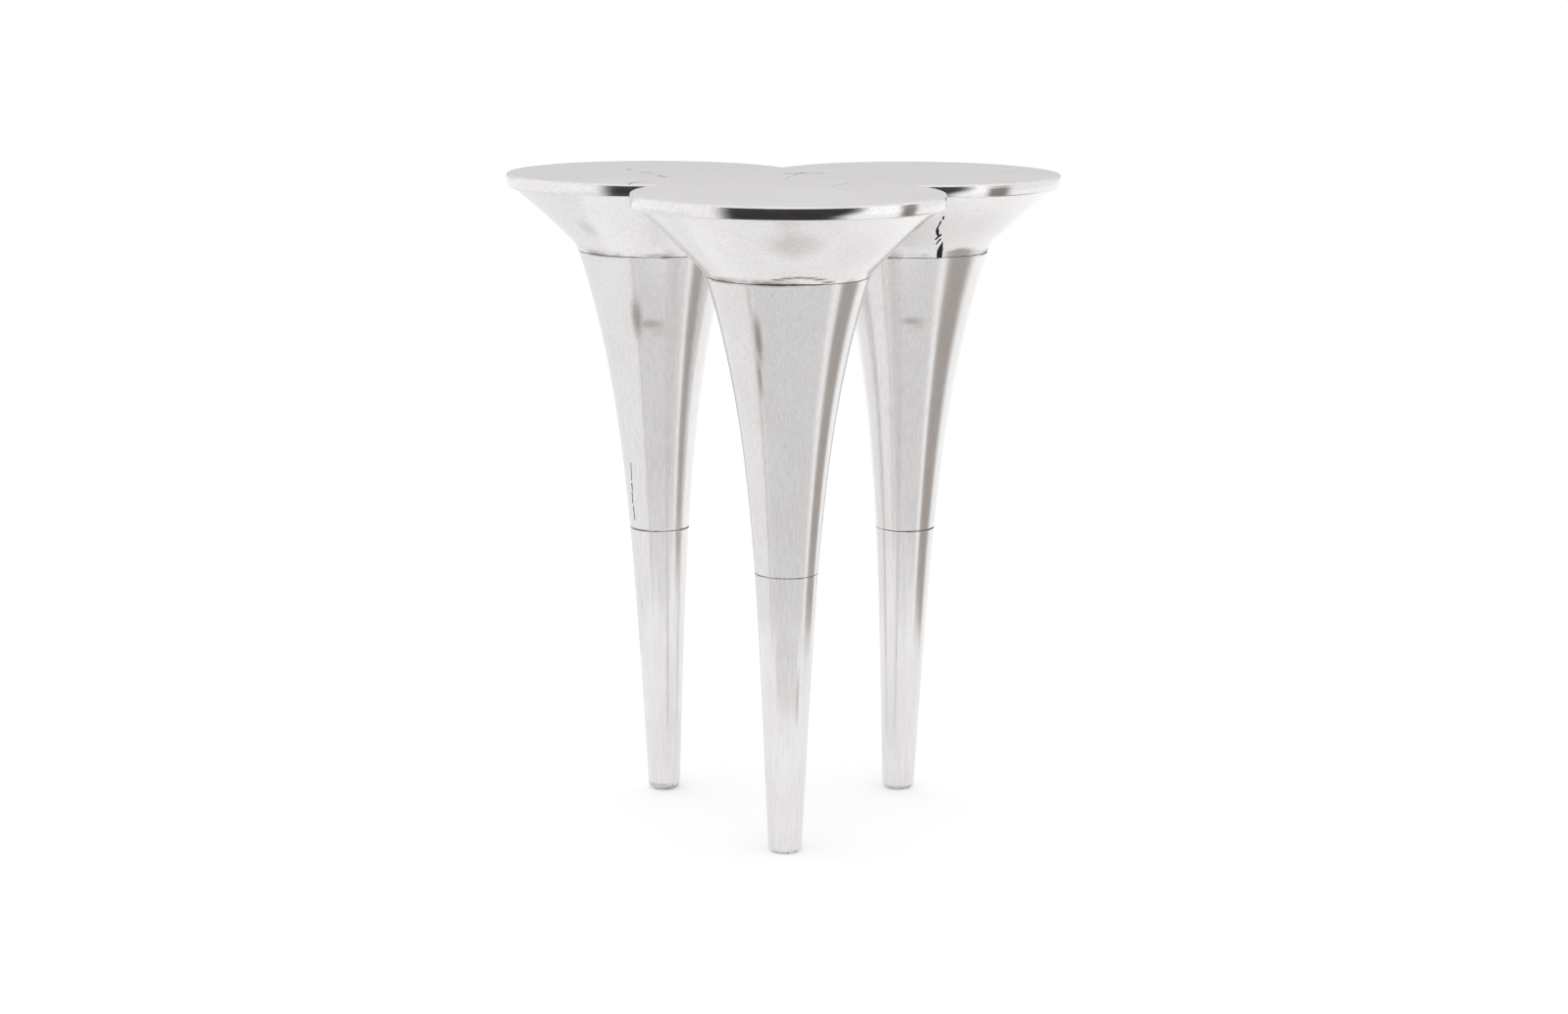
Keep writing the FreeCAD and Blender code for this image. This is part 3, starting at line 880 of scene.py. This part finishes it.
class TABLE_OT_lower_legs(bpy.types.Operator):
    """Lower turned section of each leg, down to its rounded foot"""

    bl_idname = "cluster_table.lower_legs"
    bl_label = "Lower Legs"

    def execute(self, context):
        shape = context.scene.table_shape
        edge = shape.foot_round
        ankle, corner = (shape.foot_radius, FOOT_BASE + edge), (shape.foot_radius, FOOT_BASE)
        skin = curve_points((WAIST_RADIUS, LOWER_TOP), shape.lower_slope, ankle, shape.foot_slope, 110)
        skin += round_points(ankle, corner, (shape.foot_radius - edge, FOOT_BASE), 8)[1:]
        recess = GLIDE_RADIUS + GLIDE_SIDE_GAP
        recess_top = SLEEVE_TOP - SLEEVE_LENGTH + SLEEVE_FLANGE
        sleeve_top = SLEEVE_TOP + FIT_GAP
        inner = [
            (recess, FOOT_BASE),
            (recess, recess_top),
            (SLEEVE_HOLE, recess_top),
            (SLEEVE_HOLE, sleeve_top),
            (ROD_HOLE, sleeve_top),
            (ROD_HOLE, WAIST_PLUG_BASE - FIT_GAP),
            (WAIST_PLUG_RADIUS + FIT_GAP, WAIST_PLUG_BASE - FIT_GAP),
            (WAIST_PLUG_RADIUS + FIT_GAP, LOWER_TOP),
        ]
        outline = list(skin) + [Vector((radius, 0, height)) for radius, height in inner]
        skin_depth = 0.003
        for name in LEGS:
            bm = turn(outline, shape.turned_steps)
            hand_finish(bm, name, shape.hand_finish, lambda z: skin_radius(skin, z) - skin_depth)
            self.wear_foot(bm, name, recess, shape.foot_radius)
            lean(bm, name)
            chips = [
                (spot(at, up), spot(at + CHIP_TURN, up - CHIP_DROP), 0.0011, 0.0006, 0.004, 0.05)
                for at, up in FOOT_CHIPS[name]
            ]
            material = silver_leaf(
                f"silver_leaf_lower_{name}", (420, 420, 10), 0.7, name, [(LOWER_TOP, 0.0004, 0.003)],
                LOWER_MARKS[name], chips
            )
            finish_piece(bm, f"lower_leg_{name}_leafed", material, "silver_leaf_body", f"lower_leg_{name}")
        return {"FINISHED"}

    @staticmethod
    def wear_foot(bm, name, recess, foot_radius):
        """Chip the foot's lower edge unevenly, outside the glide's recess."""
        reach, depth, lift = 0.009, 0.0022, 0.0016
        patch_scale, evenness, recess_lip = 3.2, 0.15, 0.002
        seed = Vector((0, 0, LEGS.index(name) * 9))
        for vert in bm.verts:
            radius = math.hypot(vert.co.x, vert.co.y)
            if vert.co.z > reach or radius < recess + recess_lip:
                continue
            place = Vector((vert.co.x, vert.co.y, 0)) / foot_radius * patch_scale + seed
            wear = max(0, noise.noise(place) + evenness) * (1 - vert.co.z / reach)
            inward = 1 - depth * wear / radius
            vert.co.x *= inward
            vert.co.y *= inward
            vert.co.z += lift * wear


class TABLE_OT_fittings(bpy.types.Operator):
    """Wood, steel and nylon finishes for the plugs, rods, fittings and glides"""

    bl_idname = "cluster_table.fittings"
    bl_label = "Fittings"

    def execute(self, context):
        finish = context.scene.table_finish
        made = {
            "bare_wood": plain_finish("bare_wood", finish.wood, 0.0, 0.55, (180, 180, 9), 0.35, 0.0002),
            "plate_steel": plain_finish("plate_steel", finish.steel, 1.0, 0.42, (260, 40, 260), 0.2, 0.00003),
            "zinc_steel": plain_finish("zinc_steel", finish.zinc, 1.0, 0.34, (130, 130, 130), 0.15, 0.00002),
            "glide_nylon": plain_finish("glide_nylon", finish.nylon, 0.0, 0.5, (600, 600, 600), 0.3, 0.00003),
        }
        for part in frame["record"]["subparts"]:
            material = made.get(part["material_slot"])
            if material is None:
                continue
            mesh = frame["nodes"][part["node"]].data
            mesh.materials.clear()
            mesh.materials.append(material)
        return {"FINISHED"}


class TABLE_OT_stage(bpy.types.Operator):
    """Plain floor, soft studio light and camera"""

    bl_idname = "cluster_table.stage"
    bl_label = "Stage"

    def execute(self, context):
        self.floor()
        self.world(context)
        # Curved cards round the table, seen only in its reflections. Each has its two ends in degrees
        # from the front towards the right, distance, lowest and highest edge, light, and how far the
        # ends and the base fade. A slant moves the second end by that many degrees a metre up.
        self.card(
            "card_front_dark", -51, 51, 2.0, 0.06, 1.50, (0.044, 0.042, 0.041), 16, 18, 0.14, slant=20
        )
        self.card("card_left_high", -135, -40, 2.1, 0.60, 2.40, (1.10, 1.10, 1.10), 12, 4, 0.1)
        self.card("card_right_high", 42, 80, 2.1, 0.60, 2.40, (1.25, 1.25, 1.25), 6, 4, 0.1)
        self.card("card_back_low", 126, 234, 2.6, 1.06, 1.46, (0.68, 0.665, 0.668), 6, 6, 0.0)
        self.card("card_back_high", 126, 234, 2.62, 1.20, 2.60, (0.86, 0.85, 0.855), 6, 6, 0.8)
        self.card("card_front_low", -49, 62, 0.97, 0.02, 0.72, (0.79, 0.79, 0.79), 3, 6, 0.06)
        self.card("card_front_foot", -36, 40, 0.62, 0.004, 0.26, (0.85, 0.85, 0.85), 8, 8, 0.14)
        self.card("card_left_low", -165, -55, 0.95, 0.02, 0.90, (0.97, 0.97, 0.97), 20, 1, 0.06)
        self.card("card_left_edge", -56, -49, 0.95, 0.02, 0.74, (0.50, 0.47, 0.455), 2.5, 3, 0.06)
        self.card("card_right_brown", 69, 118, 0.95, 0.02, 0.80, (0.45, 0.415, 0.39), 5, 16, 0.06)
        self.card("card_rim_brown", 63, 84, 0.95, 0.80, 1.12, (0.27, 0.24, 0.225), 5, 7, 0.0)
        self.camera(context)
        return {"FINISHED"}

    @staticmethod
    def staged(name, bm, material):
        mesh = bpy.data.meshes.new(name)
        bm.to_mesh(mesh)
        bm.free()
        mesh.materials.append(material)
        sheet = bpy.data.objects.new(name, mesh)
        bpy.context.scene.collection.objects.link(sheet)
        return sheet

    def floor(self):
        material, _, shader, _ = new_material("pale_floor")
        shader.inputs["Base Color"].default_value = (0.93, 0.93, 0.93, 1.0)
        shader.inputs["Roughness"].default_value = 0.9
        shader.inputs["Specular IOR Level"].default_value = 0.0
        shader.inputs["Emission Color"].default_value = (1.0, 1.0, 1.0, 1.0)
        shader.inputs["Emission Strength"].default_value = 0.16
        bm = bmesh.new()
        bmesh.ops.create_grid(bm, x_segments=1, y_segments=1, size=14.0)
        self.staged("pale_floor", bm, material)

    def card(self, name, start, end, distance, base, top, light, start_fade, end_fade, base_fade, slant=0):
        material = bpy.data.materials.new(name)
        material.use_nodes = True
        material.node_tree.nodes.clear()
        graph = Graph(material.node_tree)
        glow = graph.add("ShaderNodeEmission", {"Color": colour(light), "Strength": 1.0})
        # Bearing measured from the card's middle, so that no card spans the jump at half a turn.
        x, y, height = graph.split(graph.add("ShaderNodeTexCoord").outputs["Object"])
        middle, half = math.radians((start + end) / 2), (end - start) / 2
        cosine, sine = math.cos(middle), math.sin(middle)
        beside = graph.math("ADD", graph.math("MULTIPLY", x, cosine), graph.math("MULTIPLY", y, sine))
        ahead = graph.math("SUBTRACT", graph.math("MULTIPLY", x, sine), graph.math("MULTIPLY", y, cosine))
        bearing = graph.math("DEGREES", graph.math("ARCTAN2", beside, ahead))
        from_start = graph.ramp(bearing, -half, start_fade - half)
        if slant:
            shift = graph.math("MULTIPLY_ADD", height, slant, -slant * PANEL_BASE)
            bearing = graph.math("SUBTRACT", bearing, shift)
        from_end = graph.ramp(bearing, half, half - end_fade)
        shown = graph.math("MULTIPLY", from_start, from_end)
        if base_fade:
            shown = graph.math("MULTIPLY", shown, graph.ramp(height, base, base + base_fade))
        clear = graph.add("ShaderNodeBsdfTransparent")
        blend = graph.add("ShaderNodeMixShader", {0: shown, 1: clear.outputs[0], 2: glow.outputs[0]})
        output = graph.add("ShaderNodeOutputMaterial")
        graph.feed(output.inputs["Surface"], blend.outputs[0])
        bm = bmesh.new()
        angle = math.radians(start)
        foot = Vector((distance * math.sin(angle), -distance * math.cos(angle), base))
        ends = [bm.verts.new(foot), bm.verts.new(foot + Vector((0, 0, top - base)))]
        edge = bm.edges.new(ends)
        bmesh.ops.spin(
            bm, geom=ends + [edge], cent=(0, 0, 0), axis=(0, 0, 1), dvec=(0, 0, 0),
            angle=math.radians(end - start), steps=32
        )
        sheet = self.staged(name, bm, material)
        sheet.visible_camera = False
        sheet.visible_diffuse = False
        sheet.visible_shadow = False

    @staticmethod
    def world(context):
        world = bpy.data.worlds.new("white_studio")
        world.use_nodes = True
        backdrop = world.node_tree.nodes["Background"]
        backdrop.inputs["Color"].default_value = (1.0, 1.0, 1.0, 1.0)
        backdrop.inputs["Strength"].default_value = 1.02
        context.scene.world = world
        context.scene.view_settings.view_transform = "Standard"

    @staticmethod
    def camera(context):
        place = Vector((-0.0893, -4.5864, 1.4545))
        heading, pitch, roll = 0.0193, 0.1982, 0.0045
        level = math.cos(pitch)
        forward = Vector((math.sin(heading) * level, math.cos(heading) * level, -math.sin(pitch)))
        right = Vector((math.cos(heading), -math.sin(heading), 0))
        up = right.cross(forward)
        cosine, sine = math.cos(roll), math.sin(roll)
        right, up = right * cosine + up * sine, up * cosine - right * sine
        data = bpy.data.cameras.new("camera")
        data.sensor_width = 36
        data.lens = 65.24
        view = bpy.data.objects.new("camera", data)
        turned = Matrix((right, up, -forward)).transposed().to_4x4()
        view.matrix_world = Matrix.Translation(place) @ turned
        context.scene.collection.objects.link(view)
        context.scene.camera = view


OPERATORS = (
    TABLE_OT_top, TABLE_OT_bells, TABLE_OT_upper_legs, TABLE_OT_lower_legs, TABLE_OT_fittings,
    TABLE_OT_stage
)


class TABLE_PT_panel(bpy.types.Panel):
    """Pieces of the cluster table"""

    bl_label = "Cluster Table"
    bl_idname = "TABLE_PT_panel"
    bl_space_type = "VIEW_3D"
    bl_region_type = "UI"
    bl_category = "Cluster Table"

    def draw(self, context):
        for group in (context.scene.table_shape, context.scene.table_finish):
            for key in group.__annotations__:
                self.layout.prop(group, key)
        for operator in OPERATORS:
            self.layout.operator(operator.bl_idname)


CLASSES = (TableShape, TableFinish, *OPERATORS, TABLE_PT_panel)


def register():
    for item in CLASSES:
        bpy.utils.register_class(item)
    bpy.types.Scene.table_shape = PointerProperty(type=TableShape)
    bpy.types.Scene.table_finish = PointerProperty(type=TableFinish)


def unregister():
    del bpy.types.Scene.table_finish
    del bpy.types.Scene.table_shape
    for item in reversed(CLASSES):
        bpy.utils.unregister_class(item)


def main():
    register()
    bpy.ops.cluster_table.top()
    bpy.ops.cluster_table.bells()
    bpy.ops.cluster_table.upper_legs()
    bpy.ops.cluster_table.lower_legs()
    bpy.ops.cluster_table.fittings()
    bpy.ops.cluster_table.stage()


if __name__ == "__main__":
    main()
